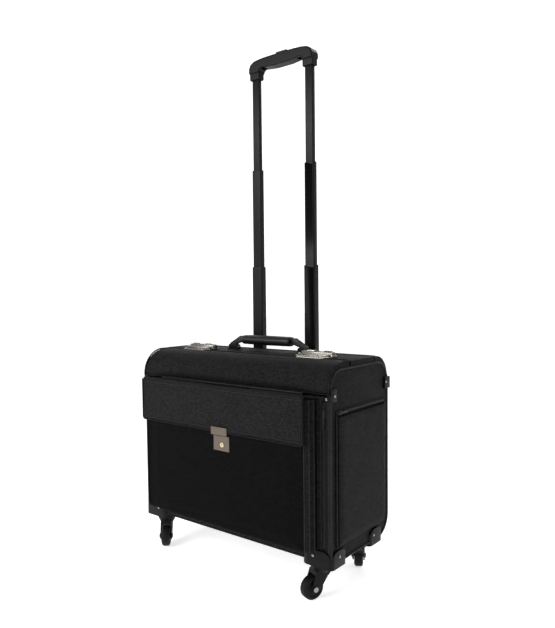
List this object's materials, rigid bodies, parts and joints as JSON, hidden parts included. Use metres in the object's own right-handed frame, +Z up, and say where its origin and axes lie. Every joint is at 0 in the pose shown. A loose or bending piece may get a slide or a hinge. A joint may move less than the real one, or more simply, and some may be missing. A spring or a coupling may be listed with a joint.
{
  "type": "pilot rolling flight case",
  "caption": "Soft-sided pilot case with two lids on top, front and side pockets, combination latches, carry handle, telescopic tow handle and swivel casters.",
  "frame": {"origin": "on the floor, under the middle of the whole object's box, with the casters standing on Z = 0", "axes": "+X to the right as seen from the front, +Y from the front pocket to the back panel, +Z up along the tow handle"},
  "size_m": [0.484, 0.247, 1.044],
  "materials": {
    "nylon": "black ballistic nylon, plain weave",
    "lining": "grey lining cloth on board",
    "black_plastic": "moulded, satin black",
    "button_plastic": "moulded, satin grey-black",
    "steel": "plated steel",
    "nickel": "nickel plated, satin",
    "key_brass": "polished brass",
    "black_metal": "black anodised, gloss",
    "dial_black": "black with white figures",
    "handle_leather": "padded black leatherette, stitched",
    "wheel_rubber": "moulded, dark grey"
  },
  "bodies": {
    "case": {"side_panel_left": "nylon", "side_panel_right": "nylon", "front_panel": "nylon", "bottom_panel": "lining", "divider_panel": "lining", "back_panel": "nylon", "corner_clips": "black_plastic", "case_rivets": "nickel", "caster_housings": "black_plastic", "hinge_case_leaves": "black_metal", "hinge_pins": "black_metal", "handle_housing": "black_metal", "handle_bezels": "black_plastic", "front_pocket": "nylon", "key_lock_body": "nickel", "side_pocket_left": "nylon", "side_pocket_right": "nylon"},
    "front_lid": {"front_lid": "nylon", "front_lid_hinge_leaf": "black_metal", "latch_strikes": "nickel"},
    "rear_lid": {"rear_lid": "nylon", "rear_lid_hinge_leaf": "black_metal", "latch_bases": "nickel", "lid_pins": "steel", "carry_handle_brackets": "nickel"},
    "carry_handle": {"carry_handle_ends": "black_plastic", "carry_handle_grip": "handle_leather"},
    "front_flap": {"front_flap": "nylon", "key_lock_hasp": "nickel"},
    "key_cylinder": {"key_cylinder": "key_brass"},
    "lower_stage": {"lower_tubes": "black_metal"},
    "middle_stage": {"middle_tubes": "black_metal"},
    "upper_stage": {"upper_tubes": "black_metal", "grip_upper_shell": "black_plastic", "grip_lower_shell": "black_plastic", "button_spring": "steel"},
    "grip_button": {"grip_button": "button_plastic", "release_bar": "steel"},
    "latch_hasp_left": {"latch_hasp_left": "nickel"},
    "latch_slide_left": {"latch_slide_left": "nickel"},
    "dial_left_outer": {"dial_left_outer": "dial_black"},
    "dial_left_middle": {"dial_left_middle": "dial_black"},
    "dial_left_inner": {"dial_left_inner": "dial_black"},
    "zip_slider_left": {"zip_slider_left": "black_metal"},
    "side_zip_slider_left": {"side_zip_slider_left": "black_metal"},
    "latch_hasp_right": {"latch_hasp_right": "nickel"},
    "latch_slide_right": {"latch_slide_right": "nickel"},
    "dial_right_outer": {"dial_right_outer": "dial_black"},
    "dial_right_middle": {"dial_right_middle": "dial_black"},
    "dial_right_inner": {"dial_right_inner": "dial_black"},
    "zip_slider_right": {"zip_slider_right": "black_metal"},
    "side_zip_slider_right": {"side_zip_slider_right": "black_metal"},
    "fork_front_left": {"caster_fork_front_left": "black_plastic"},
    "wheel_front_left": {"caster_wheel_front_left": "wheel_rubber"},
    "fork_front_right": {"caster_fork_front_right": "black_plastic"},
    "wheel_front_right": {"caster_wheel_front_right": "wheel_rubber"},
    "fork_rear_left": {"caster_fork_rear_left": "black_plastic"},
    "wheel_rear_left": {"caster_wheel_rear_left": "wheel_rubber"},
    "fork_rear_right": {"caster_fork_rear_right": "black_plastic"},
    "wheel_rear_right": {"caster_wheel_rear_right": "wheel_rubber"}
  },
  "joints": [
    {"name": "lower_stage_slide", "type": "slide", "parent": "case", "child": "lower_stage", "axis": [0, 0, 1], "range_m": [-0.18, 0]},
    {"name": "middle_stage_slide", "type": "slide", "parent": "lower_stage", "child": "middle_stage", "axis": [0, 0, 1], "range_m": [-0.207, 0]},
    {"name": "upper_stage_slide", "type": "slide", "parent": "middle_stage", "child": "upper_stage", "axis": [0, 0, 1], "range_m": [-0.19, 0]},
    {"name": "grip_button_press", "type": "slide", "parent": "upper_stage", "child": "grip_button", "axis": [0, 0, -1], "range_m": [0, 0.003], "stiffness_N_per_m": 800, "springref_m": -0.003, "deforming": ["button_spring"]},
    {"name": "front_lid_hinge", "type": "hinge", "parent": "case", "child": "front_lid", "pos_m": [0, -0.08675, 0.3642], "axis": [1, 0, 0], "range_deg": [0, 80]},
    {"name": "rear_lid_hinge", "type": "hinge", "parent": "case", "child": "rear_lid", "pos_m": [0, 0.07325, 0.416], "axis": [-1, 0, 0], "range_deg": [0, 65]},
    {"name": "carry_handle_swing", "type": "hinge", "parent": "rear_lid", "child": "carry_handle", "pos_m": [0, 0.04275, 0.424], "axis": [1, 0, 0], "range_deg": [-55, 55]},
    {"name": "front_flap_hinge", "type": "hinge", "parent": "case", "child": "front_flap", "pos_m": [0, -0.11725, 0.3635], "axis": [-1, 0, 0], "range_deg": [0, 80]},
    {"name": "key_turn", "type": "hinge", "parent": "case", "child": "key_cylinder", "pos_m": [0.014, -0.11425, 0.2545], "axis": [0, -1, 0], "range_deg": [0, 90]},
    {"name": "latch_hasp_left_flip", "type": "hinge", "parent": "rear_lid", "child": "latch_hasp_left", "pos_m": [-0.15, -0.00275, 0.4226], "axis": [-1, 0, 0], "range_deg": [0, 95]},
    {"name": "latch_slide_left_push", "type": "slide", "parent": "rear_lid", "child": "latch_slide_left", "axis": [-1, 0, 0], "range_m": [0, 0.008], "stiffness_N_per_m": 150},
    {"name": "dial_left_outer_turn", "type": "hinge", "parent": "rear_lid", "child": "dial_left_outer", "pos_m": [-0.178, 0.00775, 0.4244], "axis": [1, 0, 0], "continuous": true},
    {"name": "dial_left_middle_turn", "type": "hinge", "parent": "rear_lid", "child": "dial_left_middle", "pos_m": [-0.172, 0.00775, 0.4244], "axis": [1, 0, 0], "continuous": true},
    {"name": "dial_left_inner_turn", "type": "hinge", "parent": "rear_lid", "child": "dial_left_inner", "pos_m": [-0.166, 0.00775, 0.4244], "axis": [1, 0, 0], "continuous": true},
    {"name": "zip_left_run", "type": "slide", "parent": "case", "child": "zip_slider_left", "axis": [0, 0, 1], "range_m": [-0.2, 0]},
    {"name": "side_zip_left_run", "type": "slide", "parent": "case", "child": "side_zip_slider_left", "axis": [0, 1, 0], "range_m": [0, 0.13]},
    {"name": "latch_hasp_right_flip", "type": "hinge", "parent": "rear_lid", "child": "latch_hasp_right", "pos_m": [0.15, -0.00275, 0.4226], "axis": [-1, 0, 0], "range_deg": [0, 95]},
    {"name": "latch_slide_right_push", "type": "slide", "parent": "rear_lid", "child": "latch_slide_right", "axis": [1, 0, 0], "range_m": [0, 0.008], "stiffness_N_per_m": 150},
    {"name": "dial_right_outer_turn", "type": "hinge", "parent": "rear_lid", "child": "dial_right_outer", "pos_m": [0.178, 0.00775, 0.4244], "axis": [1, 0, 0], "continuous": true},
    {"name": "dial_right_middle_turn", "type": "hinge", "parent": "rear_lid", "child": "dial_right_middle", "pos_m": [0.172, 0.00775, 0.4244], "axis": [1, 0, 0], "continuous": true},
    {"name": "dial_right_inner_turn", "type": "hinge", "parent": "rear_lid", "child": "dial_right_inner", "pos_m": [0.166, 0.00775, 0.4244], "axis": [1, 0, 0], "continuous": true},
    {"name": "zip_right_run", "type": "slide", "parent": "case", "child": "zip_slider_right", "axis": [0, 0, 1], "range_m": [-0.2, 0]},
    {"name": "side_zip_right_run", "type": "slide", "parent": "case", "child": "side_zip_slider_right", "axis": [0, 1, 0], "range_m": [0, 0.13]},
    {"name": "swivel_front_left", "type": "hinge", "parent": "case", "child": "fork_front_left", "pos_m": [-0.2, -0.06325, 0.062], "axis": [0, 0, 1], "continuous": true},
    {"name": "roll_front_left", "type": "hinge", "parent": "fork_front_left", "child": "wheel_front_left", "pos_m": [-0.18714, -0.07857, 0.021], "axis": [0.766, 0.6428, 0], "continuous": true},
    {"name": "swivel_front_right", "type": "hinge", "parent": "case", "child": "fork_front_right", "pos_m": [0.2, -0.06325, 0.062], "axis": [0, 0, 1], "continuous": true},
    {"name": "roll_front_right", "type": "hinge", "parent": "fork_front_right", "child": "wheel_front_right", "pos_m": [0.19283, -0.08192, 0.021], "axis": [0.9336, -0.3584, 0], "continuous": true},
    {"name": "swivel_rear_left", "type": "hinge", "parent": "case", "child": "fork_rear_left", "pos_m": [-0.2, 0.06675, 0.062], "axis": [0, 0, 1], "continuous": true},
    {"name": "roll_rear_left", "type": "hinge", "parent": "fork_rear_left", "child": "wheel_rear_left", "pos_m": [-0.19, 0.08407, 0.021], "axis": [-0.866, 0.5, 0], "continuous": true},
    {"name": "swivel_rear_right", "type": "hinge", "parent": "case", "child": "fork_rear_right", "pos_m": [0.2, 0.06675, 0.062], "axis": [0, 0, 1], "continuous": true},
    {"name": "roll_rear_right", "type": "hinge", "parent": "fork_rear_right", "child": "wheel_rear_right", "pos_m": [0.1903, 0.08424, 0.021], "axis": [-0.8746, -0.4848, 0], "continuous": true}
  ]
}
